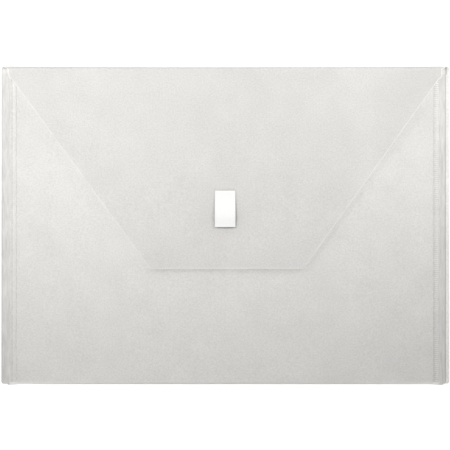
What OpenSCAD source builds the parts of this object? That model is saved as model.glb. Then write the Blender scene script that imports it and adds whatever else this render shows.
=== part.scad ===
// Portfolio case: a flat envelope of frosted plastic sheet with a tapered flap
// and a hook-and-loop strap. It lies on its back: X is the width, +Y points to
// the edge where the flap folds over, and +Z points out of the front.
// The origin is under the middle of the case, on the face that it lies on.

/* [Case] */
// Width across the back panel
case_w = 466; // [430:1:520]
// Height from the bottom fold to the top fold
case_h = 330; // [300:1:380]
// Thickness of the plastic sheet
sheet_t = 0.5; // [0.4:0.05:0.7]
// Radius of the case's four corners
corner_r = 3.5; // [1:0.5:6]

/* [Pocket] */
// Room between the back panel and the front panel, at the middle of the arch
pocket_gap = 6; // [5:0.5:12]
// How far the front panel is narrower than the back panel, on each side
front_inset = 1.5; // [0.5:0.5:3]
// Distance from the back panel's side edge to the inner edge of the weld
flange_w = 16; // [14:1:30]
// How flat the top of the front panel's arch is: 2 is a plain parabola
arch_power = 4; // [2:1:8]
// Distance from the top fold down to the front panel's free edge
mouth_drop = 7.5; // [7:0.5:20]

/* [Side welds] */
// Width of the ribbed weld band
weld_w = 6; // [4:0.5:8]
// Distance between two ribs of the weld
rib_pitch = 2.1; // [1.5:0.1:4]
// Height of the ribs above the weld band
rib_h = 0.2; // [0.1:0.05:0.4]
// Depth of the weld band in the front panel
weld_depth = 0.3; // [0.1:0.05:0.35]

/* [Flap] */
// Height of the flap above the front panel, where the closure sits
flap_gap = 3.8; // [3.8:0.1:5]
// Half width of the flap's lower edge
tip_half_w = 79.5; // [60:0.5:120]
// Height of the flap's lower edge above the middle of the case
tip_y = -44; // [-80:1:-30]
// Half width of the flap where its straight sides start
shoulder_half_w = 218.5; // [200:0.5:220]
// Distance from the top fold down to where the straight sides start
shoulder_drop = 16; // [14:1:30]
// Radius of the flap's lower corners
tip_r = 2; // [1:0.5:6]

/* [Closure] */
// Width of the woven strap
strap_w = 21.2; // [16:0.2:26]
// Thickness of the woven strap
strap_t = 0.6; // [0.4:0.1:0.7]
// Height of the strap's slot above the middle of the case
slot_y = 35.2; // [30:0.2:50]
// Opening of the slot, up and down the flap
slot_h = 2.4; // [2:0.1:4]
// Length of the pull tab that hangs from the slot
tab_len = 37.5; // [30:0.5:45]
// Length of the tab's end that is folded double
hem_len = 12; // [8:0.5:20]
// Angle at which the tab stands off the flap
tab_rise = 2; // [0:0.5:5]
// Length of the hook patch and of the loop patch
patch_len = 32; // [20:1:34]

/* [Hidden] */

frosted = [0.91, 0.90, 0.88];
fused = [0.84, 0.83, 0.81];
white = [0.97, 0.97, 0.97];
glue = [0.93, 0.92, 0.86];

$fn = 48;
over = 1;

half_w = case_w / 2;
half_h = case_h / 2;

// pocket: the front panel arches up between the two welded flanges
front_top = 2 * sheet_t + pocket_gap;
front_half_w = half_w - front_inset;
seam_x = half_w - flange_w;
mouth_y = half_h - mouth_drop;
arch_steps = 11;
arch_x = [for (i = [0 : arch_steps]) seam_x * (2 * i / arch_steps - 1)];

// bottom fold: a half round, as high at each place as the case is there
fold_steps = 12;
crease_r = 0.1;
flange_y = sheet_t - half_h;
fold_half_w = front_half_w - corner_r - over;
fold_x = concat([-fold_half_w], arch_x, [fold_half_w]);

// side welds
weld_x = seam_x + weld_w / 2 + 0.4;
weld_low = 2 * sheet_t - weld_depth;
weld_base = weld_depth / 2;
weld_start = flange_y + 2;
weld_stop = mouth_y - 1;
rib_count = floor((weld_stop - weld_start) / rib_pitch);

// flap and top fold: three arcs of one half round, hinged at 45 degrees
flap_low = front_top + flap_gap;
flap_top = flap_low + sheet_t;
roll_r = flap_top / 2;
roll_mid_r = roll_r - sheet_t / 2;
roll_y = half_h - roll_r;
roll_half_w = half_w - 1;
hinge_gap = 0.6;
hinge_angle = 45;
gap_angle = hinge_gap / roll_mid_r * 180 / PI;
shoulder_y = half_h - shoulder_drop;

// closure, from the front panel upwards
glue_t = 0.25;
web_t = 0.45;
mesh_gap = 0.3;
strap_top = flap_low - glue_t;
strap_low = strap_top - strap_t;
hook_t = 0.65;
hook_low = strap_low - hook_t;
loop_low = front_top + glue_t;
pile_low = loop_low + web_t;
pile_t = hook_low - mesh_gap - pile_low;
patch_y = slot_y - 2 - patch_len / 2;
patch_w = strap_w - 0.8;
slot_half_w = strap_w / 2 + 0.6;

// the strap's bend round the slot's lower edge, and the tab that hangs from it
tab_clearance = 0.3;
tab_low = flap_top + tab_clearance;
bend_mid_r = (tab_low + strap_t / 2 - (strap_low + strap_t / 2)) / 2;
bend_z = strap_low + strap_t / 2 + bend_mid_r;
bend_r = bend_mid_r + strap_t / 2;
crease_angle = 50;
crease_y = slot_y + bend_mid_r * cos(crease_angle);
crease_z = bend_z + bend_mid_r * sin(crease_angle);
crease_gap = 0.65;
crease_gap_angle = crease_gap / bend_mid_r * 180 / PI;
tab_start_y = crease_y - crease_gap - 0.1;
tab_end_y = slot_y + bend_r - tab_len;

// room under the front panel at a place across the width
function arch(x) = abs(x) < seam_x ? pocket_gap * (1 - pow(abs(x) / seam_x, arch_power)) : 0;

// outer radius of the bottom fold there, and the line where the panels end in it
function fold_r(x) = sheet_t + arch(x) / 2;
function fold_edge() = [for (x = fold_x) [x, fold_r(x) - half_h]];

// extrudes a (Y, Z) outline along X, both ways from the middle
module along_x(width) {
    rotate([90, 0, 90])
        linear_extrude(height = width, center = true)
            children();
}

module rounded_outline(outline_half_w) {
    for (side_x = [-1, 1], side_y = [-1, 1])
        translate([side_x * (outline_half_w - corner_r), side_y * (half_h - corner_r)])
            circle(r = corner_r);
    square([2 * outline_half_w, 2 * (half_h - corner_r)], center = true);
    square([2 * (outline_half_w - corner_r), 2 * half_h], center = true);
}

// outline of a panel: round corners, and cut where the bottom fold starts
module panel_outline(outline_half_w, top_y) {
    below = -half_h - over;
    difference() {
        rounded_outline(outline_half_w);
        polygon(concat([[-fold_half_w, below]], fold_edge(), [[fold_half_w, below]]));
        translate([-half_w - over, top_y])
            square([case_w + 2 * over, case_h]);
    }
}

module back_panel() {
    color(frosted)
        linear_extrude(height = sheet_t)
            panel_outline(half_w, roll_y);
}

// the front panel across its width: two flanges and the arch between them
module front_section() {
    across = concat([-front_half_w], arch_x, [front_half_w]);
    last = len(across) - 1;
    underside = [for (x = across) [x, sheet_t + arch(x)]];
    outside = [for (i = [0 : last]) [across[last - i], 2 * sheet_t + arch(across[i])]];
    polygon(concat(underside, outside));
}

module front_panel() {
    color(frosted)
        difference() {
            intersection() {
                rotate([90, 0, 0])
                    linear_extrude(height = case_h + 2 * over, center = true)
                        front_section();
                linear_extrude(height = front_top + over)
                    panel_outline(front_half_w, mouth_y);
            }
            for (side = [-1, 1])
                translate([side * weld_x - weld_w / 2, weld_start, weld_low])
                    cube([weld_w, weld_stop - weld_start, weld_depth + over]);
        }
}

// half-round points of the bottom fold at x, the outer ones or the inner ones
function fold_points(x, r) = [for (k = [0 : fold_steps])
    [x, fold_r(x) - half_h - r * sin(180 * k / fold_steps),
     fold_r(x) - r * cos(180 * k / fold_steps)]];

// the loop round the fold's wall at x: out along the outside, back along the inside
function fold_loop(x) = let (inner = fold_points(x, max(fold_r(x) - sheet_t, crease_r)))
    concat(fold_points(x, fold_r(x)), [for (k = [0 : fold_steps]) inner[fold_steps - k]]);

module bottom_fold() {
    points = [for (x = fold_x) each fold_loop(x)];
    ring = 2 * (fold_steps + 1);
    last = (len(fold_x) - 1) * ring;
    walls = [for (i = [0 : len(fold_x) - 2], k = [0 : ring - 1])
        let (a = i * ring + k, b = i * ring + (k + 1) % ring)
        each [[a, b, b + ring], [a, b + ring, a + ring]]];
    // each end is closed by a strip between the outside and the inside
    ends = [for (k = [0 : fold_steps - 1])
        let (outer = k, inner = ring - 1 - k)
        each [[outer, inner, inner - 1, outer + 1],
              [last + outer, last + outer + 1, last + inner - 1, last + inner]]];
    color(frosted)
        polyhedron(points, concat(walls, ends));
}

// a weld band with saw-tooth ribs across it
module weld_band() {
    ribs = [for (i = [0 : 2 * rib_count])
        [weld_start + i * rib_pitch / 2, weld_base + (i % 2) * rib_h]];
    end_y = weld_start + rib_count * rib_pitch;
    color(fused)
        translate([0, 0, weld_low])
            along_x(weld_w)
                polygon(concat([[weld_start, 0]], ribs, [[end_y, 0]]));
}

module left_weld() {
    translate([-weld_x, 0, 0])
        weld_band();
}

module right_weld() {
    translate([weld_x, 0, 0])
        weld_band();
}

// the part of a ring between two angles, up to 90 degrees apart
module arc_outline(outer_r, thickness, from_angle, to_angle) {
    reach = 2 * outer_r;
    intersection() {
        difference() {
            circle(r = outer_r, $fn = 96);
            circle(r = outer_r - thickness, $fn = 96);
        }
        polygon([
            [0, 0],
            [reach * cos(from_angle), reach * sin(from_angle)],
            [reach * cos((from_angle + to_angle) / 2), reach * sin((from_angle + to_angle) / 2)],
            [reach * cos(to_angle), reach * sin(to_angle)]
        ]);
    }
}

// one arc of the top fold, with the case's round corners cut through it
module fold_band(from_angle, to_angle) {
    color(frosted)
        intersection() {
            translate([0, roll_y, roll_r])
                along_x(2 * roll_half_w)
                    arc_outline(roll_r, sheet_t, from_angle, to_angle);
            linear_extrude(height = flap_top + over)
                rounded_outline(half_w);
        }
}

module fold_band_back() {
    fold_band(-90, -hinge_angle - gap_angle);
}

module fold_band_middle() {
    fold_band(-hinge_angle + gap_angle, hinge_angle - gap_angle);
}

module fold_band_flap() {
    fold_band(hinge_angle + gap_angle, 90);
}

module flap_outline() {
    intersection() {
        offset(r = tip_r)
            offset(delta = -tip_r)
                polygon([
                    [-roll_half_w, half_h], [-roll_half_w, roll_y],
                    [-shoulder_half_w, shoulder_y], [-tip_half_w, tip_y],
                    [tip_half_w, tip_y], [shoulder_half_w, shoulder_y],
                    [roll_half_w, roll_y], [roll_half_w, half_h]
                ]);
        translate([-half_w, tip_y - over])
            square([case_w, roll_y - tip_y + over]);
    }
}

module flap_sheet() {
    color(frosted)
        difference() {
            translate([0, 0, flap_low])
                linear_extrude(height = sheet_t)
                    flap_outline();
            translate([-slot_half_w, slot_y, flap_low - over])
                cube([2 * slot_half_w, slot_h, sheet_t + 2 * over]);
        }
}

// a flat patch of the closure, centred under the pull tab
module patch(width, low, thickness) {
    translate([-width / 2, patch_y - patch_len / 2, low])
        cube([width, patch_len, thickness]);
}

module loop_adhesive() {
    color(glue)
        patch(patch_w, front_top, glue_t);
}

module loop_web() {
    color(white)
        patch(patch_w, loop_low, web_t);
}

module loop_pile() {
    color(white)
        patch(patch_w, pile_low, pile_t);
}

module strap_adhesive() {
    color(glue)
        patch(strap_w, strap_top, glue_t);
}

module hook_field() {
    color(white)
        patch(patch_w, hook_low, hook_t);
}

// the strap's inner leg under the flap, with the bend that comes out of the slot
module hook_strap() {
    leg_start = patch_y - patch_len / 2;
    color(white) {
        translate([-strap_w / 2, leg_start, strap_low])
            cube([strap_w, slot_y - leg_start, strap_t]);
        translate([0, slot_y, bend_z])
            along_x(strap_w) {
                arc_outline(bend_r, strap_t, -90, 0);
                arc_outline(bend_r, strap_t, 0, crease_angle - crease_gap_angle);
            }
    }
}

// the outer leg: a flat strap whose end is folded up and double
module tab_section() {
    hem_y = tab_end_y + strap_t;
    translate([hem_y, tab_low])
        square([tab_start_y - hem_y, strap_t]);
    translate([hem_y, tab_low + strap_t])
        square([hem_len, strap_t]);
    translate([hem_y, tab_low + strap_t])
        circle(r = strap_t);
}

module pull_tab() {
    color(white)
        translate([0, crease_y, crease_z])
            rotate([-tab_rise, 0, 0])
                translate([0, -crease_y, -crease_z])
                    along_x(strap_w)
                        tab_section();
}

back_panel();
bottom_fold();
front_panel();
left_weld();
right_weld();
fold_band_back();
fold_band_middle();
fold_band_flap();
flap_sheet();
loop_adhesive();
loop_web();
loop_pile();
strap_adhesive();
hook_strap();
hook_field();
pull_tab();
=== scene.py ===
import math

import bmesh
import bpy
import numpy as np
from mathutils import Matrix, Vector


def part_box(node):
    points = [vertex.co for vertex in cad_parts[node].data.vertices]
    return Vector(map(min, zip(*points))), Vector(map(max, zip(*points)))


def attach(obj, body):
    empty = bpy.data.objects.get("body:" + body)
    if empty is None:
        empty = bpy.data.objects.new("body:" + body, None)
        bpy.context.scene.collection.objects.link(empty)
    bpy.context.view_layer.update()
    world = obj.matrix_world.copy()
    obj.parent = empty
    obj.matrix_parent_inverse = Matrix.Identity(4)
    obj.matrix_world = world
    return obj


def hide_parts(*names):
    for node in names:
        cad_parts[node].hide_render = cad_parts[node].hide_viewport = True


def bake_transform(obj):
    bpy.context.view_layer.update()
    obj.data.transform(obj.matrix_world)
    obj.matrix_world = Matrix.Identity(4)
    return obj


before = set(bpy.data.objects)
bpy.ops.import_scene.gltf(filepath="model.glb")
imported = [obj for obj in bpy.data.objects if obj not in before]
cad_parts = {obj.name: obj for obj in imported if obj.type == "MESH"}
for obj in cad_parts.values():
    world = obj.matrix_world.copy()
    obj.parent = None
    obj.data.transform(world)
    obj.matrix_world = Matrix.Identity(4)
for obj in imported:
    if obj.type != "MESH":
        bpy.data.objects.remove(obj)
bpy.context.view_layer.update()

MM = 0.001

# ---------------------------------------------------------------- sizes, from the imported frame

back_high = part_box("back_panel")[1]
fold_low, fold_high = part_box("bottom_fold")
front_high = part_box("front_panel")[1]
flap_low, flap_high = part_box("flap_sheet")
weld_low, weld_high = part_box("right_weld")
glue_low, glue_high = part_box("loop_adhesive")
web_low, web_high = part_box("loop_web")
pile_low, pile_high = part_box("loop_pile")
film_low, film_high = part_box("strap_adhesive")
strap_low, strap_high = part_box("hook_strap")
hook_low, hook_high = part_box("hook_field")

SHEET = back_high.z
CASE_HALF_W = back_high.x
CASE_HALF_H = -fold_low.y
CORNER_R = 3.5 * MM

# pocket
FRONT_LEFT_W = front_high.x + 0.7 * MM      # the front panel lies a little to the left
FRONT_RIGHT_W = front_high.x - 2.2 * MM
MOUTH_Y = front_high.y
POCKET_GAP = front_high.z - 2 * SHEET
WELD_INWARDS = {-1: 0.0, 1: 1.0 * MM}       # how much further in than its solid each weld band lies
LEFT_WELD_X = WELD_INWARDS[-1] - weld_high.x   # the outer edges of the weld bands
RIGHT_WELD_X = weld_high.x - WELD_INWARDS[1]
RIB_PITCH = 2.1 * MM
SEAM_X = weld_low.x - 1.4 * MM   # where the front panel begins to stand up from its flange
ARCH_POWER = 4                 # how late its arch bends down towards the welds
FOLD_HALF_W = fold_high.x
CREASE_R = 0.1 * MM            # least inner radius of the bottom fold
RECESS_STEP = 0.05 * MM        # width of the slope round a weld band's recess
LAYER_GAP = 0.02 * MM          # keeps two touching surfaces from lying in one plane
FRONT_RIPPLE = 0.35 * MM       # height of the slow wave in the front panel
PRESSED_OUT = 0.8 * MM         # how far the welds press the ends of the bottom fold outwards,
PRESSED_X = 222 * MM           # where they do so most,
PRESSED_REACH = 6 * MM         # and how far that reaches to both sides

# top fold and flap
ROLL_R = flap_high.z / 2
ROLL_Y = flap_high.y
ROLL_HALF_W = CASE_HALF_W - 0.3 * MM
ROLL_POWER = 3.2               # 2 is a plain half round
TOP_DIP = 0.8 * MM             # how far the top edge is drawn in at its middle
SHOULDER = (221.2 * MM, CASE_HALF_H - 13.4 * MM)   # where the flap's straight side begins
SHOULDER_W = 224.6 * MM        # half width of the flap just below the top fold
TIP_HALF_W = 79.5 * MM
TIP_Y = flap_low.y - 0.8 * MM
TIP_R = 2 * MM
TIP_SKEW = 1.7 * MM            # the flap is folded over a little askew, to the right
TIP_LIFT = 2 * MM              # how far the flap's straight edge stands off, away from the closure
FLAP_RIPPLE = 0.4 * MM         # height of the slow wave in the flap

# closure
STRAP_HALF_W = strap_high.x
TAPE = 0.55 * MM               # woven tape, a little thinner than the solid that stands for it
BEND_R = 0.825 * MM            # middle of the tape, round the slot's lower edge
BEND_Y = strap_high.y - BEND_R - 0.7 * MM
BEND_Z = strap_low.z + 0.3 * MM + BEND_R
SLOT_HALF_W = STRAP_HALF_W + 0.6 * MM
SLOT_H = 1.5 * MM
HEM_Y = -1.4 * MM              # where the tab's end turns under
HEM_LEN = 6 * MM
HEM_R = 0.325 * MM             # middle of the tape, round the tab's folded end
WEAVE_PITCH = 0.9 * MM
HOOK_BASE = 0.32 * MM          # thickness of the hook tape without its hooks
HOOK_PITCH = 1.45 * MM
CALM_REACH = (45 * MM, 55 * MM)   # how far from the closure's middle the sheets keep to their own level

CHAMFER = 0.12 * MM            # rounding of a die-cut edge
BUTT = 0.01 * MM               # the same where two pieces of one sheet meet
# The strip along a cut edge is paler, partly whitened plastic and partly a painted highlight.
EDGE_BAND = 0.5 * MM           # width of the whitened strip along a cut edge

# looks
# The white below is what painted light, and the paler stripe on the right weld, tint towards; the grey is
# what painted shade tints towards.
WHITE = (0.97, 0.97, 0.96)
SHADE_GREY = (0.42, 0.415, 0.405)
WAVE_PERIOD = 0.314            # between the bands of Blender's wave texture, in metres, at a scale of 1


# ---------------------------------------------------------------- small helpers

def runs(stops, steps):
    """Values from stop to stop, with that many even steps between each two."""
    parts = [np.linspace(a, b, n, endpoint=False) for a, b, n in zip(stops, stops[1:], steps)]
    return np.concatenate(parts + [np.array(stops[-1:])])


def mirrored(half):
    """Values from 0 upwards, and the same below 0."""
    return np.concatenate([-half[:0:-1], half])


def ease(value, start, stop):
    """0 before start and 1 after stop, with a smooth step between them."""
    t = np.clip((value - start) / (stop - start), 0, 1)
    return t * t * (3 - 2 * t)


def ripple(x, y):
    """A slow uneven wave between about -1 and 1, as thin plastic sheet lies."""
    return (np.sin(x / 0.038 + 0.8) * np.cos(y / 0.055 - 0.4)
            + 0.6 * np.sin(x / 0.071 - y / 0.043 + 2.1)
            + 0.3 * np.cos(x / 0.023 + y / 0.027)) / 1.6


def away_from_closure(x, y):
    """0 at the closure, where the sheets have to stay at their own level, and 1 well away from it."""
    middle = (hook_low.y + hook_high.y) / 2
    reach = (x / CALM_REACH[0]) ** 2 + ((y - middle) / CALM_REACH[1]) ** 2
    return 1 - np.exp(-reach ** 2)


def rounded_half_w(y):
    """Half width of the case at y, where its round corners begin to cut in."""
    past = np.clip(np.abs(y) - (CASE_HALF_H - CORNER_R), 0, CORNER_R)
    return CASE_HALF_W - CORNER_R + np.sqrt(CORNER_R ** 2 - past ** 2)


def arch(x):
    """How far the front panel stands up from its flanges at x."""
    share = np.clip(np.abs(x) / SEAM_X, 0, 1)
    return POCKET_GAP * (1 - share ** ARCH_POWER)


def fold_r(x):
    """Outer radius of the bottom fold at x."""
    return SHEET + arch(x) / 2


def stack(x, y, z):
    return np.stack(np.broadcast_arrays(x, y, z), -1)


# ---------------------------------------------------------------- meshes

def make_object(name, points, faces, kinds, smooth, materials):
    """A mesh object with outward normals, no loose points, and its rest position as an attribute."""
    mesh = bpy.data.meshes.new(name)
    mesh.from_pydata(points.tolist(), [], faces)
    mesh.polygons.foreach_set("material_index", np.asarray(kinds, np.int32))
    mesh.polygons.foreach_set("use_smooth", np.asarray(smooth, bool))
    bm = bmesh.new()
    bm.from_mesh(mesh)
    bmesh.ops.delete(bm, geom=[v for v in bm.verts if not v.link_faces], context="VERTS")
    bmesh.ops.recalc_face_normals(bm, faces=bm.faces)
    bm.to_mesh(mesh)
    bm.free()
    place = np.empty(len(mesh.vertices) * 3, np.float32)
    mesh.vertices.foreach_get("co", place)
    rest = mesh.attributes.new("rest_point", "FLOAT_VECTOR", "POINT")
    rest.data.foreach_set("vector", place)
    mesh.update()
    for material in materials:
        mesh.materials.append(material)
    made = bpy.data.objects.new(name, mesh)
    bpy.context.scene.collection.objects.link(made)
    return made


def shell(name, top, bottom, materials, chamfer=CHAMFER, present=None, band=None, butt=()):
    """A closed sheet between two grids of points, with a chamfered rim.

    present says which cells exist, and band the number of each one's material; the rim has material 1.
    butt names the ends, first or last row, that meet another piece of the same sheet.
    """
    rows, cols = top.shape[:2]
    count = rows * cols
    if present is None:
        present = np.ones((rows - 1, cols - 1), bool)
    if band is None:
        band = np.zeros((rows - 1, cols - 1), int)
    index = np.arange(count).reshape(rows, cols)
    cells = np.stack([index[:-1, :-1], index[:-1, 1:], index[1:, 1:], index[1:, :-1]], -1)
    upper, lower = top.reshape(-1, 3), bottom.reshape(-1, 3)
    through = upper - lower
    depth = np.linalg.norm(through, axis=1, keepdims=True)
    through = through / np.maximum(depth, 1e-9)

    # rim: every side of a cell that has no neighbour there
    beside = np.pad(present, 1)
    neighbours = [beside[:-2, 1:-1], beside[1:-1, 2:], beside[2:, 1:-1], beside[1:-1, :-2]]
    starts, ends, outward = [], [], []
    for side, neighbour in enumerate(neighbours):
        open_cells = cells[present & ~neighbour]
        a, b = open_cells[:, side], open_cells[:, (side + 1) % 4]
        along = upper[b] - upper[a]
        out = np.cross(along, through[a] + through[b])
        out /= np.maximum(np.linalg.norm(out, axis=1, keepdims=True), 1e-12)
        from_cell = (upper[a] + upper[b]) / 2 - upper[open_cells].mean(1)
        out *= np.where((out * from_cell).sum(1) < 0, -1, 1)[:, None]
        starts.append(a)
        ends.append(b)
        outward.append(out)
    starts, ends, outward = np.concatenate(starts), np.concatenate(ends), np.concatenate(outward)
    push = np.zeros_like(upper)
    np.add.at(push, starts, outward)
    np.add.at(push, ends, outward)
    rim = np.unique(np.concatenate([starts, ends]))
    push = push[rim] / np.maximum(np.linalg.norm(push[rim], axis=1, keepdims=True), 1e-12)
    size = np.full((rows, cols), chamfer)
    if "first" in butt:
        size[0] = BUTT
    if "last" in butt:
        size[-1] = BUTT
    size = size.reshape(-1, 1)[rim]
    inset = through[rim] * np.minimum(size, depth[rim] * 0.35)
    rim_top = upper[rim] + push * size - inset
    rim_bottom = lower[rim] + push * size + inset
    place = np.full(count, -1)
    place[rim] = np.arange(len(rim))
    t_a, t_b = place[starts] + 2 * count, place[ends] + 2 * count
    b_a, b_b = t_a + len(rim), t_b + len(rim)
    rim_faces = np.concatenate([
        np.stack([starts, ends, t_b, t_a], 1),
        np.stack([t_a, t_b, b_b, b_a], 1),
        np.stack([b_a, b_b, ends + count, starts + count], 1),
    ])
    kept = cells[present]
    faces = np.concatenate([kept, kept[:, ::-1] + count, rim_faces]).tolist()
    kinds = np.concatenate([band[present], band[present], np.ones(len(rim_faces))])
    smooth = np.arange(len(faces)) < 2 * len(kept)
    points = np.concatenate([upper, lower, rim_top, rim_bottom])
    return make_object(name, points, faces, kinds, smooth, materials)


def tubes(name, paths, planes, radii, sides, material):
    """Many thin round tubes. Each path lies in a plane, and planes holds those planes' normals."""
    count, length = paths.shape[:2]
    ahead = np.gradient(paths, axis=1)
    ahead /= np.linalg.norm(ahead, axis=2, keepdims=True)
    flat = np.broadcast_to(planes[:, None, :], paths.shape)
    across = np.cross(ahead, flat)
    turn = np.arange(sides) * 2 * math.pi / sides
    reach = np.broadcast_to(radii, (count, length))[:, :, None, None]
    rings = (paths[:, :, None] + reach * (np.cos(turn)[:, None] * flat[:, :, None]
                                          + np.sin(turn)[:, None] * across[:, :, None]))
    index = np.arange(count * length * sides).reshape(count, length, sides)
    beside = np.roll(index, -1, axis=2)
    walls = np.stack([index[:, :-1], beside[:, :-1], beside[:, 1:], index[:, 1:]], -1).reshape(-1, 4)
    caps = np.concatenate([index[:, 0], index[:, -1]])
    faces = walls.tolist() + caps.tolist()
    kinds = np.zeros(len(faces))
    smooth = np.arange(len(faces)) < len(walls)
    return make_object(name, rings.reshape(-1, 3), faces, kinds, smooth, [material])


# ---------------------------------------------------------------- materials

def node_material(name):
    material = bpy.data.materials.new(name)
    material.use_nodes = True
    tree = material.node_tree
    tree.nodes.clear()
    return material, tree


def add(tree, kind, **values):
    """A node, with its inputs and settings set by name."""
    node = tree.nodes.new(kind)
    for key, value in values.items():
        if key in node.inputs:
            node.inputs[key].default_value = value
        else:
            setattr(node, key, value)
    return node


def rest_point(tree):
    """Where a point of the surface is at rest, in metres, so that a pattern stays put as a piece bends."""
    return add(tree, "ShaderNodeAttribute", attribute_name="rest_point").outputs["Vector"]


def noise(tree, scale, detail, stretch=(1, 1, 1)):
    place = add(tree, "ShaderNodeMapping")
    place.inputs["Scale"].default_value = stretch
    tree.links.new(rest_point(tree), place.inputs["Vector"])
    made = add(tree, "ShaderNodeTexNoise", Scale=scale, Detail=detail, Roughness=0.6)
    tree.links.new(place.outputs["Vector"], made.inputs["Vector"])
    return made.outputs["Fac"]


def spread(tree, source, low, high):
    """Maps the middle of a noise to low..high."""
    made = add(tree, "ShaderNodeMapRange")
    for key, value in (("From Min", 0.3), ("From Max", 0.7), ("To Min", low), ("To Max", high)):
        made.inputs[key].default_value = value
    tree.links.new(source, made.inputs["Value"])
    return made.outputs["Result"]


def maths(tree, operation, a, b):
    made = add(tree, "ShaderNodeMath", operation=operation)
    for socket, value in zip(made.inputs, (a, b)):
        if isinstance(value, bpy.types.NodeSocket):
            tree.links.new(value, socket)
        else:
            socket.default_value = value
    return made.outputs[0]


def shaded(tree, dark, light, share):
    """A colour between dark and light."""
    made = add(tree, "ShaderNodeMix", data_type="RGBA")
    made.inputs[6].default_value = (*dark, 1)
    made.inputs[7].default_value = (*light, 1)
    tree.links.new(share, made.inputs[0])
    return made.outputs[2]


def bumped(tree, height, strength, distance):
    made = add(tree, "ShaderNodeBump", Strength=strength, Distance=distance)
    tree.links.new(height, made.inputs["Height"])
    return made.outputs["Normal"]


def mixed(tree, share, first, second):
    made = add(tree, "ShaderNodeMixShader")
    made.inputs[0].default_value = share
    tree.links.new(first, made.inputs[1])
    tree.links.new(second, made.inputs[2])
    return made.outputs[0]


def tinted(tree, colour, share, other):
    """The colour, changed to another one by a share that varies."""
    made = add(tree, "ShaderNodeMix", data_type="RGBA")
    made.inputs[7].default_value = (*other, 1)
    tree.links.new(share, made.inputs[0])
    tree.links.new(colour, made.inputs[6])
    return made.outputs[2]


def lined(tree, colour, lines):
    """The colour, changed along straight lines.

    Each line has its axis, its place on it, its half width, the share of its own colour, and that colour.
    """
    parts = add(tree, "ShaderNodeSeparateXYZ")
    tree.links.new(rest_point(tree), parts.inputs[0])
    for axis, place, reach, strength, other in lines:
        off = maths(tree, "ABSOLUTE", maths(tree, "SUBTRACT", parts.outputs[axis], place), 0)
        share = maths(tree, "SUBTRACT", 1, maths(tree, "DIVIDE", off, reach))
        share.node.use_clamp = True
        colour = tinted(tree, colour, maths(tree, "MULTIPLY", share, strength), other)
    return colour


def ribbed(tree, colour, strength):
    """The colour, with painted shade in the grooves between a weld's rib lines."""
    parts = add(tree, "ShaderNodeSeparateXYZ")
    tree.links.new(rest_point(tree), parts.inputs[0])
    past = maths(tree, "SUBTRACT", parts.outputs["Y"], weld_low.y)
    wave = maths(tree, "COSINE", maths(tree, "MULTIPLY", past, 2 * math.pi / RIB_PITCH), 0)
    groove_shade = maths(tree, "MULTIPLY", maths(tree, "ADD", wave, 1), strength / 2)
    return tinted(tree, colour, groove_shade, SHADE_GREY)


def plastic(name, dark, light, diffused=0.42, clear=0.08, roughness=0.45, passed=0.93,
            lines=(), stretch=(1, 1, 1), rib_shade=0):
    """Frosted sheet: it scatters light back, passes some on scattered, and lets a little straight through.

    diffused is the share that it passes on scattered, and clear the share that goes straight through.
    Its shadows are faint, because most of a lamp's light goes on forwards: passed is that share at each face.
    """
    material, tree = node_material(name)
    grain = noise(tree, 620, 3, stretch)
    mottle = noise(tree, 42, 4)
    share = maths(tree, "ADD", maths(tree, "MULTIPLY", grain, 0.8), maths(tree, "MULTIPLY", mottle, 0.2))
    colour = lined(tree, shaded(tree, dark, light, spread(tree, share, 0, 1)), lines)
    if rib_shade:
        colour = ribbed(tree, colour, rib_shade)
    normal = bumped(tree, grain, 0.35, 0.06 * MM)
    solid = add(tree, "ShaderNodeBsdfPrincipled")
    solid.inputs["IOR"].default_value = 1.49
    solid.inputs["Specular IOR Level"].default_value = 0.35
    tree.links.new(colour, solid.inputs["Base Color"])
    tree.links.new(spread(tree, grain, roughness - 0.06, roughness + 0.06), solid.inputs["Roughness"])
    tree.links.new(normal, solid.inputs["Normal"])
    glow = add(tree, "ShaderNodeBsdfTranslucent")
    tree.links.new(colour, glow.inputs["Color"])
    tree.links.new(normal, glow.inputs["Normal"])
    through = add(tree, "ShaderNodeBsdfTransparent")
    through.inputs["Color"].default_value = (0.97, 0.965, 0.955, 1)
    scattered = mixed(tree, diffused, solid.outputs[0], glow.outputs[0])
    seen = mixed(tree, clear, scattered, through.outputs[0])
    forward = add(tree, "ShaderNodeBsdfTransparent")
    forward.inputs["Color"].default_value = (passed, passed, passed, 1)
    shown = mixed(tree, 0, seen, forward.outputs[0])
    rays = add(tree, "ShaderNodeLightPath")
    tree.links.new(rays.outputs["Is Shadow Ray"], shown.node.inputs[0])
    out = add(tree, "ShaderNodeOutputMaterial")
    tree.links.new(shown, out.inputs["Surface"])
    return material


def textile(name, dark, light, pitch, roughness):
    """White nylon: threads both ways, with a little soft sheen."""
    material, tree = node_material(name)
    fuzz = noise(tree, 1500, 3)
    threads = []
    for axis in (0, 1):
        wave = add(tree, "ShaderNodeTexWave", Distortion=0.6, Detail=1.0)
        wave.bands_direction = "XY"[axis]
        wave.inputs["Scale"].default_value = WAVE_PERIOD / pitch
        tree.links.new(rest_point(tree), wave.inputs["Vector"])
        threads.append(wave.outputs["Fac"])
    weave = maths(tree, "MULTIPLY", *threads)
    height = maths(tree, "ADD", weave, maths(tree, "MULTIPLY", fuzz, 0.5))
    solid = add(tree, "ShaderNodeBsdfPrincipled")
    solid.inputs["Roughness"].default_value = roughness
    solid.inputs["Specular IOR Level"].default_value = 0.3
    solid.inputs["Sheen Weight"].default_value = 0.2
    tree.links.new(shaded(tree, dark, light, spread(tree, height, 0, 1)), solid.inputs["Base Color"])
    tree.links.new(bumped(tree, height, 0.5, 0.08 * MM), solid.inputs["Normal"])
    out = add(tree, "ShaderNodeOutputMaterial")
    tree.links.new(solid.outputs[0], out.inputs["Surface"])
    return material
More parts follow.
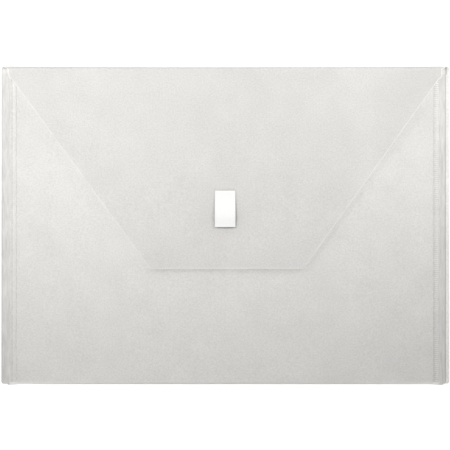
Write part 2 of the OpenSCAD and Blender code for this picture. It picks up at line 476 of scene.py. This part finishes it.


# The lines are faint painted light and shade. Grey is painted shade: at the top fold, over the panels' upper
# part, towards the flap's ends, along the front panel's side edges and in the welds' grooves. White is
# painted light: on the bottom fold and where the welds' recess walls lie in shade; a broad white line also
# makes the right weld band paler.
FROSTED = plastic(
    "frosted_sheet", (0.68, 0.672, 0.66), (0.83, 0.822, 0.81), roughness=0.55, passed=0.90,
    # Painted shade at the top fold and over the panels' upper part, and painted light on the bottom fold,
    # which faces away from the lamps.
    lines=(("Y", CASE_HALF_H, 3 * MM, 0.15, SHADE_GREY),
           ("Y", -CASE_HALF_H, 3 * MM, 0.5, WHITE),
           ("Y", CASE_HALF_H - 48 * MM, 58 * MM, 0.095, SHADE_GREY)))   # the panels' upper part is a little darker
FLAP = plastic(
    # The flap's plastic is the panels' plastic a little darker, as painted shade, with painted shade too at
    # its top fold and towards its two ends.
    "flap_sheet_plastic", (0.665, 0.657, 0.645), (0.815, 0.807, 0.795), roughness=0.55, passed=0.84,
    lines=(("Y", CASE_HALF_H, 3 * MM, 0.15, SHADE_GREY),
           ("X", CASE_HALF_W, 85 * MM, 0.22, SHADE_GREY),      # the flap's two ends are a little darker
           ("X", -CASE_HALF_W, 75 * MM, 0.10, SHADE_GREY)))
MARGIN = plastic(
    "pressed_margin", (0.62, 0.612, 0.60), (0.80, 0.792, 0.78), passed=0.90, stretch=(1, 0.12, 1),
    # Painted shadow along the front panel's two side edges in grey, and painted light in white where the
    # welds' recess walls lie in shade.
    lines=(("X", FRONT_RIGHT_W, 1.5 * MM, 0.9, SHADE_GREY),
           ("X", -FRONT_LEFT_W, 1.5 * MM, 0.5, SHADE_GREY),
           ("X", LEFT_WELD_X, 1.6 * MM, 0.32, WHITE),
           ("X", RIGHT_WELD_X, 1.4 * MM, 0.2, WHITE)))
# A cut edge is paler: partly whitened plastic, partly a painted highlight.
EDGE_WHITENING_AND_HIGHLIGHT = plastic(
    "cut_edge_whitening_and_highlight", (0.825, 0.817, 0.805), (0.91, 0.902, 0.89), diffused=0.36, roughness=0.42, passed=0.80)
# Painted light lifts the shade at the welds' recess walls and across the left band. The right band's broad
# pale line makes it paler, except along its inner edge, and the grooves between the rib lines get painted
# shade.
WELDS = {
    -1: plastic(
        "left_weld_plastic", (0.64, 0.632, 0.62), (0.79, 0.782, 0.77), clear=0.20, rib_shade=0.04,
        lines=(("X", LEFT_WELD_X, 1.6 * MM, 0.32, WHITE),
               ("X", LEFT_WELD_X + 3.6 * MM, 0.9 * MM, 0.4, WHITE),
               ("X", LEFT_WELD_X + 5.4 * MM, 1.7 * MM, 0.38, WHITE))),
    1: plastic(
        "right_weld_plastic", (0.68, 0.672, 0.66), (0.84, 0.832, 0.82), clear=0.20, rib_shade=0.28,
        lines=(("X", RIGHT_WELD_X, 1.4 * MM, 0.2, WHITE),
               ("X", RIGHT_WELD_X - 2.4 * MM, 3 * MM, 0.35, WHITE))),
}
GLUE = plastic(
    "adhesive", (0.70, 0.68, 0.60), (0.78, 0.76, 0.68), diffused=0.30, clear=0.35, roughness=0.25)
STRAP = textile("woven_strap", (0.80, 0.80, 0.79), (0.90, 0.90, 0.89), 0.45 * MM, 0.75)
PILE = textile("loops", (0.78, 0.78, 0.77), (0.88, 0.88, 0.87), 0.3 * MM, 0.7)
HOOKS = textile("hooks", (0.82, 0.82, 0.81), (0.90, 0.90, 0.89), 0.3 * MM, 0.4)


# ---------------------------------------------------------------- the sheet

def top_dip(x, y):
    """The top edge is drawn in a little between the corners."""
    return -TOP_DIP * (1 - np.clip(x / ROLL_HALF_W, -1, 1) ** 2) * ease(y, 0.110, ROLL_Y)


def squared(angle):
    """Outwards and upwards parts of a half round that is a little squared."""
    power = 2 / ROLL_POWER
    out = np.abs(np.cos(angle)) ** power
    up = np.sign(np.sin(angle)) * np.abs(np.sin(angle)) ** power
    return out, up


def roll_point(angle, radius):
    """(y, z) on the top fold, at an angle from its outermost line."""
    out, up = squared(angle)
    return ROLL_Y + radius * out, ROLL_R + radius * up


def roll_half_w(angle):
    """Half width of the top fold, at an angle from its outermost line."""
    return np.minimum(rounded_half_w(roll_point(angle, ROLL_R)[0]), ROLL_HALF_W)


def bottom_line(x, half_w):
    """Where a panel ends at the bottom: at the fold, or at the round corner beside it."""
    past = np.clip(np.abs(x) - (half_w - CORNER_R), 0, CORNER_R)
    corner = -(CASE_HALF_H - CORNER_R) - np.sqrt(CORNER_R ** 2 - past ** 2)
    return np.maximum(fold_r(x) - CASE_HALF_H, corner)


def panel_columns(left_w, right_w):
    """X positions across a panel, close together at the welds and at the round corners."""
    sides = []
    for side, half_w in ((-1, left_w), (1, right_w)):
        low, high = weld_span(side)
        stops = [0, 0.150, 0.205, SEAM_X, low - RECESS_STEP, low, high, high + RECESS_STEP,
                 half_w - CORNER_R, half_w - EDGE_BAND, half_w - CHAMFER]
        sides.append(runs(stops, [34, 16, 6, 1, 1, 3, 1, 4, 5, 2]))
    return np.concatenate([-sides[0][:0:-1], sides[1]])


def weld_span(side):
    """Distances of a weld band's two edges from the middle of the case; side is -1 for the left."""
    return weld_low.x - WELD_INWARDS[side], weld_high.x - WELD_INWARDS[side]


def margin_cells(x):
    """Which cells lie in the flat margins outside the welds, along the last axis of x."""
    reach = np.minimum(np.abs(x[..., :-1]), np.abs(x[..., 1:]))
    return reach >= np.where(x[..., :-1] < 0, weld_span(-1)[1], weld_span(1)[1]) - 1e-9


def back_skin():
    """The back panel and the lower half of the top fold, as one sheet."""
    across = panel_columns(CASE_HALF_W, CASE_HALF_W)
    start = bottom_line(across, CASE_HALF_W - CHAMFER)
    share = runs([0, 0.02, 0.9, 1], [4, 60, 12])[:, None]
    y = start + (ROLL_Y - start) * share
    narrowing = (CASE_HALF_W - ROLL_HALF_W) * ease(y, 0.153, ROLL_Y)
    x = across * (1 - narrowing / CASE_HALF_W)
    flat_low = stack(x, y + top_dip(x, y), 0 * MM)
    flat_high = stack(x, y + top_dip(x, y), SHEET)
    angle = np.radians(runs([-90, 0], [14]))[1:, None]
    low, high = [], []
    for kept, radius in ((low, ROLL_R), (high, ROLL_R - SHEET)):
        y, z = roll_point(angle, radius)
        x = across * (roll_half_w(angle) - CHAMFER) / (CASE_HALF_W - CHAMFER)
        kept.append(stack(x, y + top_dip(x, ROLL_Y), z))
    outer = np.concatenate([flat_low, low[0]])
    inner = np.concatenate([flat_high, high[0]])
    band = np.zeros((outer.shape[0] - 1, outer.shape[1] - 1), int)
    above_mouth = outer[:-1, 0, 1] > MOUTH_Y - 2 * MM
    band[above_mouth[:, None] & margin_cells(across)] = 2
    band[:, :2] = band[:, -2:] = 1
    return shell("back_sheet", inner, outer, [FROSTED, EDGE_WHITENING_AND_HIGHLIGHT, MARGIN], band=band, butt=("first", "last"))


def front_skin():
    """The front panel, arched between the welds, and the bottom fold, as one sheet."""
    across = panel_columns(FRONT_LEFT_W, FRONT_RIGHT_W)
    start = bottom_line(across, np.where(across < 0, FRONT_LEFT_W, FRONT_RIGHT_W) - CHAMFER)
    mouth = MOUTH_Y - CHAMFER
    y_rows = runs([mouth, mouth - EDGE_BAND, weld_high.y + RECESS_STEP, weld_high.y,
                   weld_low.y, weld_low.y - RECESS_STEP], [2, 2, 1, 76, 1])
    flat_y = np.broadcast_to(y_rows[:, None], (len(y_rows), len(across))).copy()
    # below the panel's middle the rows close up towards the fold, which isn't straight
    shift = (start + CASE_HALF_H - SHEET) * ease(-flat_y, 0.10, -weld_low.y)
    flat_y += shift
    last = np.minimum(start, flat_y[-1] - RECESS_STEP)
    flat_y = np.concatenate([flat_y, last[None]])
    x = np.broadcast_to(across, flat_y.shape)
    lift = arch(x) / POCKET_GAP
    wave = FRONT_RIPPLE * ripple(x, flat_y) * lift * away_from_closure(x, flat_y)
    wave *= ease(flat_y, -0.160, -0.120) * ease(-flat_y, -MOUTH_Y, -0.120)
    outside = 2 * SHEET + arch(x) + wave
    inside = outside - SHEET + LAYER_GAP
    left, right = weld_span(-1), weld_span(1)
    in_band = ((-x >= left[0]) & (-x <= left[1])) | ((x >= right[0]) & (x <= right[1]))
    in_band &= (y_rows.min() + RECESS_STEP / 2 < flat_y) & (flat_y < weld_high.y + RECESS_STEP / 2)
    recess = 2 * SHEET - weld_low.z + LAYER_GAP
    outside = outside - np.where(in_band, recess, 0)
    top = [stack(x, flat_y, outside)]
    bottom = [stack(x, flat_y, inside)]
    angle = np.radians(runs([90, 270], [20]))[1:, None]
    r = fold_r(across)
    inner_r = np.maximum(r - SHEET + LAYER_GAP, CREASE_R)
    pressed = PRESSED_OUT * np.exp(-((np.abs(across) - PRESSED_X) / PRESSED_REACH) ** 2)
    for kept, radius in ((top, r), (bottom, inner_r)):
        out, up = squared(angle)
        kept.append(stack(across, last - (radius + pressed) * out, r + radius * up))
    top, bottom = np.concatenate(top), np.concatenate(bottom)
    present = np.ones((top.shape[0] - 1, top.shape[1] - 1), bool)
    beside = np.abs(across) <= FOLD_HALF_W
    present[len(flat_y) - 1:, ~(beside[:-1] & beside[1:])] = False
    band = np.zeros(present.shape, int)
    band[:2] = 1
    band[:, margin_cells(across)] = 2
    return shell("front_sheet", top, bottom, [FROSTED, EDGE_WHITENING_AND_HIGHLIGHT, MARGIN], present=present, band=band,
                 butt=("last",))


def flap_half_w(y):
    """Half width of the flap at y, below the top fold."""
    slope = (SHOULDER[0] - TIP_HALF_W) / (SHOULDER[1] - TIP_Y)
    side = TIP_HALF_W + (y - TIP_Y) * slope
    rise = np.clip((y - SHOULDER[1]) / (ROLL_Y - SHOULDER[1]), 0, 1)
    above = SHOULDER[0] + (SHOULDER_W - SHOULDER[0]) * (1 - (1 - rise) ** 5)
    half = np.where(y > SHOULDER[1], above, side)
    # round the lower corner
    slant = math.hypot(1, slope)
    centre_y = TIP_Y + TIP_R
    centre_x = TIP_HALF_W + TIP_R * slope - TIP_R * slant
    arc_top = centre_y - TIP_R * slope / slant
    reach = np.sqrt(np.clip(TIP_R ** 2 - (y - centre_y) ** 2, 0, None))
    return np.where(y < arc_top, centre_x + reach, half)


def flap_skin():
    """The upper half of the top fold and the flap, with the strap's slot, as one sheet."""
    fixed = runs([0, SLOT_HALF_W + CHAMFER, 0.030], [6, 6])
    share = runs([0, 1], [36])[1:]
    slot_stop = BEND_Y + SLOT_H + CHAMFER
    slot_start = BEND_Y - CHAMFER
    y_rows = runs([ROLL_Y, SHOULDER[1], 0.060, slot_stop, slot_start, TIP_Y + 3 * MM,
                   TIP_Y + EDGE_BAND + CHAMFER, TIP_Y + 0.25 * MM, TIP_Y + CHAMFER],
                  [8, 34, 8, 2, 30, 4, 4, 3])
    angle = np.radians(runs([0, 90], [14]))[:-1]
    rows = []
    upper = roll_half_w(angle) - (ROLL_HALF_W - SHOULDER_W) * ease(np.degrees(angle), 10, 80)
    for half in np.concatenate([upper, flap_half_w(y_rows)]):
        inner = half - EDGE_BAND - CHAMFER
        outer = fixed[-1] + (inner - fixed[-1]) * share
        edge = [half - CHAMFER - EDGE_BAND / 2, half - CHAMFER]
        rows.append(mirrored(np.concatenate([fixed, outer, edge])))
    x = np.array(rows)
    top, bottom = [], []
    for kept, radius in ((top, ROLL_R), (bottom, ROLL_R - SHEET)):
        y, z = roll_point(angle[:, None], radius)
        here = x[:len(angle)]
        kept.append(stack(here, y + top_dip(here, ROLL_Y), z))
    here, y = x[len(angle):], y_rows[:, None]
    fade = away_from_closure(here, y) * ease(-y, -0.150, -0.100)
    wave = FLAP_RIPPLE * ripple(here + 0.03, y - 0.02) * fade
    raised = TIP_LIFT * ease(-y, -0.075, -TIP_Y) * away_from_closure(here, y)
    level = flap_high.z + wave + raised
    place_y = y + top_dip(here, y)
    skew = TIP_SKEW * (ROLL_Y - y) / (ROLL_Y - TIP_Y)
    here = here + skew * ease(np.abs(here), fixed[-1], 2 * fixed[-1])
    top.append(stack(here, place_y, level))
    bottom.append(stack(here, place_y, level - SHEET))
    top, bottom = np.concatenate(top), np.concatenate(bottom)
    present = np.ones((top.shape[0] - 1, top.shape[1] - 1), bool)
    hole_rows = (y_rows[:-1] <= slot_stop + 1e-9) & (y_rows[1:] >= slot_start - 1e-9)
    middle = x.shape[1] // 2
    hole = np.flatnonzero(hole_rows) + len(angle)
    present[hole[0]:hole[-1] + 1, middle - 6:middle + 6] = False
    band = np.where(margin_cells(x)[:-1], 2, 0)
    band[:, :2] = band[:, -2:] = 1
    band[-7:] = 1
    return shell("flap_skin", top, bottom, [FLAP, EDGE_WHITENING_AND_HIGHLIGHT, MARGIN], present=present, band=band,
                 butt=("first",))


# ---------------------------------------------------------------- side welds

def weld(name, side):
    """A ribbed weld band in its recess."""
    per_rib = 8
    rib_count = round((weld_high.y - weld_low.y) / RIB_PITCH)
    y = np.linspace(weld_low.y + CHAMFER, weld_high.y - CHAMFER, rib_count * per_rib + 1)[:, None]
    low, high = weld_span(side)
    x = np.linspace(low + CHAMFER, high - CHAMFER, 13)
    phase = 2 * math.pi * (y - weld_low.y) / RIB_PITCH
    across = (x - low) / (high - low)
    pillow = ease(across, 0, 0.18) * ease(1 - across, 0, 0.18)
    base = weld_low.z + 0.15 * MM
    rib = (weld_high.z - base) * (0.5 - 0.5 * np.cos(phase)) ** 0.8 * pillow
    top = stack(side * x, y, base + rib)
    bottom = stack(side * x, y, weld_low.z)
    return shell(name, top, bottom, [WELDS[side], WELDS[side]], chamfer=0.05 * MM)


# ---------------------------------------------------------------- closure

def weave(x, y):
    """Height of a plain weave, between -1 and 1."""
    return np.sin(math.pi * x / WEAVE_PITCH) * np.sin(math.pi * y / WEAVE_PITCH)


def tape(name, path, side, lift, butt):
    """Woven tape along a (y, z) path, with side as its outward normals, lifted by a function of x and y."""
    length = np.concatenate([[0], np.cumsum(np.linalg.norm(np.diff(path, axis=0), axis=1))])[:, None]
    across = mirrored(runs([0, STRAP_HALF_W - 0.6 * MM, STRAP_HALF_W - 0.15 * MM], [22, 3]))
    selvedge = 1 + 0.12 * ease(np.abs(across), STRAP_HALF_W - 1.6 * MM, STRAP_HALF_W - 1.2 * MM)
    faces = []
    for sign in (1, -1):
        reach = sign * (TAPE / 2 * selvedge - 0.05 * MM) + 0.035 * MM * weave(across, length)
        y = path[:, :1] + side[:, :1] * reach
        z = path[:, 1:] + side[:, 1:] * reach
        faces.append(stack(across, y, z + lift(across, y)))
    return shell(name, faces[0], faces[1], [STRAP, STRAP], chamfer=0.15 * MM, butt=butt)


def arc(centre, radius, start, stop, steps):
    """(y, z) points of an arc, and the directions from its centre."""
    angle = np.radians(np.linspace(start, stop, steps + 1))
    out = np.stack([np.cos(angle), np.sin(angle)], 1)
    return np.array(centre) + radius * out, out


def straight(start, stop, steps, side):
    """(y, z) points of a straight run, without its two ends, and its normals."""
    share = np.linspace(0, 1, steps + 1)[1:-1, None]
    return np.array(start) * (1 - share) + np.array(stop) * share, np.repeat([side], steps - 1, 0)


def inner_leg():
    """The strap's leg under the flap, and half of its bend through the slot."""
    level = BEND_Z - BEND_R
    run, run_side = straight((hook_low.y, level), (BEND_Y, level), 76, (0, -1))
    bend, bend_side = arc((BEND_Y, BEND_Z), BEND_R, -90, 0, 8)
    path = np.concatenate([[(hook_low.y + 0.15 * MM, level)], run, bend])
    side = np.concatenate([[(0, -1)], run_side, bend_side])
    return tape("strap_inner_leg", path, side, lambda x, y: 0 * x * y, ("last",))


def outer_leg():
    """The pull tab: it comes out of the slot, hangs down the flap, and its end is folded under."""
    level = BEND_Z + BEND_R - 0.025 * MM
    bend, bend_side = arc((BEND_Y, BEND_Z), BEND_R, 0, 90, 8)
    run, run_side = straight((BEND_Y, level), (HEM_Y, level), 80, (0, 1))
    nose, nose_side = arc((HEM_Y, level - HEM_R), HEM_R, 90, 270, 12)
    back, back_side = straight((HEM_Y, level - 2 * HEM_R), (HEM_Y + HEM_LEN, level - 2 * HEM_R), 16, (0, -1))
    path = np.concatenate([bend, run, nose, back])
    side = np.concatenate([bend_side, run_side, nose_side, back_side])
    reach = BEND_Y - HEM_Y

    def lift(x, y):
        down = np.clip((BEND_Y - y) / reach, 0, 1)
        crown = 1 - (x / STRAP_HALF_W) ** 2
        return MM * (2.1 * ease(down, 0.05, 0.75) - 0.95 * ease(down, 0.72, 1.02) + 0.55 * down ** 2 * crown)

    return tape("pull_tab_leg", path, side, lift, ("first",))


def patch(name, low, high, materials, bumps, wobble):
    """A thin rectangular layer of the closure. bumps is its relief, wobble how uneven its outline is."""
    x = mirrored(np.linspace(0, high.x - 0.1 * MM, 24))
    y = np.linspace(low.y + 0.1 * MM, high.y - 0.1 * MM, 74)[:, None]
    relief = bumps * weave(x, y)
    x_out = x * (1 + wobble * np.sin(y / 0.0031) * (np.abs(x) / high.x) ** 6)
    y_out = y * (1 + 0 * x)
    top = stack(x_out, y_out, high.z - abs(bumps) + relief)
    bottom = stack(x_out, y_out, low.z + LAYER_GAP + 0 * relief)
    return shell(name, top, bottom, materials, chamfer=0.08 * MM)


def scattered(low, high, pitch, jitter, random):
    """Points on a jittered grid inside a patch."""
    x = np.arange(low.x + pitch, high.x - pitch / 2, pitch)
    y = np.arange(low.y + pitch, high.y - pitch / 2, pitch)
    grid = np.stack(np.meshgrid(x, y), -1).reshape(-1, 2)
    return grid + random.uniform(-jitter, jitter, grid.shape)


def loops(random):
    """The pile of the loop tape: small arched threads that lean every way."""
    feet = scattered(pile_low, pile_high, 0.85 * MM, 0.3 * MM, random)
    count = len(feet)
    turn = random.uniform(0, math.pi, count)
    width = random.uniform(0.3, 0.6, count) * MM
    height = random.uniform(0.7, 1.2, count) * MM
    lean = random.uniform(-0.35, 0.35, count)
    step = np.linspace(0, math.pi, 8)
    out = width[:, None] * np.cos(step) + lean[:, None] * height[:, None] * np.sin(step)
    up = height[:, None] * np.sin(step) ** 0.8
    heading = np.stack([np.cos(turn), np.sin(turn)], 1)
    flat = feet[:, None] + heading[:, None] * out[:, :, None]
    paths = np.concatenate([flat, (pile_low.z - 0.05 * MM + up)[:, :, None]], 2)
    planes = np.stack([-np.sin(turn), np.cos(turn), 0 * turn], 1)
    return tubes("loop_threads", paths, planes, 0.06 * MM, 4, PILE)


def hooks(random):
    """The hooks: short stems with a curled tip, in rows that face each other in turn."""
    feet = scattered(hook_low, hook_high, HOOK_PITCH, 0.08 * MM, random)
    way = np.where(np.round((feet[:, 0] - hook_low.x) / HOOK_PITCH) % 2, 1, -1)
    curl = np.radians(np.linspace(0, 215, 6))
    reach = 0.15 * MM
    out = np.concatenate([[0, 0], reach * (1 - np.cos(curl))])
    down = np.concatenate([[0, 0.12 * MM], 0.2 * MM + reach * np.sin(curl)])
    start = hook_high.z - HOOK_BASE + LAYER_GAP
    y = feet[:, 1, None] + way[:, None] * out
    z = np.broadcast_to(start - down, y.shape)
    paths = stack(feet[:, 0, None], y, z)
    planes = np.tile([1.0, 0, 0], (len(feet), 1))
    radii = np.array([0.13, 0.11, 0.1, 0.09, 0.085, 0.08, 0.07, 0.05]) * MM
    return tubes("hook_stems", paths, planes, radii, 5, HOOKS)


# ---------------------------------------------------------------- build

back = back_skin()
front = front_skin()
flap = flap_skin()
welds = [weld("left_weld_band", -1), weld("right_weld_band", 1)]
inner = inner_leg()
outer = outer_leg()

random = np.random.default_rng(7)
web = patch("loop_tape_base", web_low, web_high, [PILE, PILE], 0.03 * MM, 0)
threads = loops(random)
base_low = Vector((hook_low.x, hook_low.y, hook_high.z - HOOK_BASE))
hook_base = patch("hook_tape_base", base_low, hook_high, [HOOKS, HOOKS], 0.03 * MM, 0)
stems = hooks(random)
front_glue = patch("front_adhesive_film", glue_low, glue_high, [GLUE, GLUE], 0, 0.012)
strap_glue = patch("strap_adhesive_film", film_low, film_high, [GLUE, GLUE], 0, 0.012)

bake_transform(back)
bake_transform(flap)
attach(front, "pocket")
for band in welds:
    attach(band, "pocket")
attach(inner, "flap")
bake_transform(outer)
for piece in (web, threads, front_glue):
    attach(piece, "pocket")
for piece in (hook_base, stems, strap_glue):
    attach(piece, "flap")

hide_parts("back_panel", "fold_band_back", "fold_band_middle")
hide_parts("front_panel", "bottom_fold")
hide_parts("fold_band_flap", "flap_sheet")
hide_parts("left_weld")
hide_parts("right_weld")
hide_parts("hook_strap")
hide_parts("pull_tab")
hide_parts("loop_web")
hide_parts("loop_pile")
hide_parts("hook_field")
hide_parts("loop_adhesive")
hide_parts("strap_adhesive")


# ---------------------------------------------------------------- studio

def floor():
    """A wide white floor that gives off some light itself, so that it reads as a white background."""
    material, tree = node_material("white_floor")
    cloud = noise(tree, 3, 2)
    solid = add(tree, "ShaderNodeBsdfPrincipled", Roughness=0.9)
    tree.links.new(shaded(tree, (0.71, 0.71, 0.71), (0.73, 0.73, 0.73), cloud), solid.inputs["Base Color"])
    solid.inputs["Emission Color"].default_value = (1, 1, 1, 1)
    solid.inputs["Emission Strength"].default_value = 0.45
    out = add(tree, "ShaderNodeOutputMaterial")
    tree.links.new(solid.outputs[0], out.inputs["Surface"])
    mesh = bpy.data.meshes.new("floor")
    half, level = 6.0, -0.05 * MM
    corners = [(-half, -half, level), (half, -half, level), (half, half, level), (-half, half, level)]
    mesh.from_pydata(corners, [], [(0, 1, 2, 3)])
    mesh.materials.append(material)
    made = bpy.data.objects.new("floor", mesh)
    bpy.context.scene.collection.objects.link(made)


def lamp(name, place, size, power):
    """A square soft light that faces the middle of the case."""
    data = bpy.data.lights.new(name, "AREA")
    data.shape = "SQUARE"
    data.size = size
    data.energy = power
    made = bpy.data.objects.new(name, data)
    made.location = place
    made.visible_camera = False
    made.rotation_mode = "QUATERNION"
    made.rotation_quaternion = (-Vector(place)).to_track_quat("-Z", "Y")
    bpy.context.scene.collection.objects.link(made)


floor()
lamp("key_left", (-0.30, 0.22, 0.50), 0.20, 2.18)
lamp("key_right", (0.34, 0.24, 0.32), 0.12, 0.88)

world = bpy.data.worlds.new("studio")
world.use_nodes = True
world.node_tree.nodes["Background"].inputs["Color"].default_value = (1, 1, 1, 1)
world.node_tree.nodes["Background"].inputs["Strength"].default_value = 0.50
scene = bpy.context.scene
scene.world = world
scene.view_settings.view_transform = "Standard"

# straight down from far off, so that the outline shows without perspective
camera_data = bpy.data.cameras.new("camera")
camera_data.lens = 300
camera_data.sensor_width = 36
camera = bpy.data.objects.new("camera", camera_data)
camera.location = (-0.2 * MM, 0.35 * MM, 3.896)
scene.collection.objects.link(camera)
scene.camera = camera
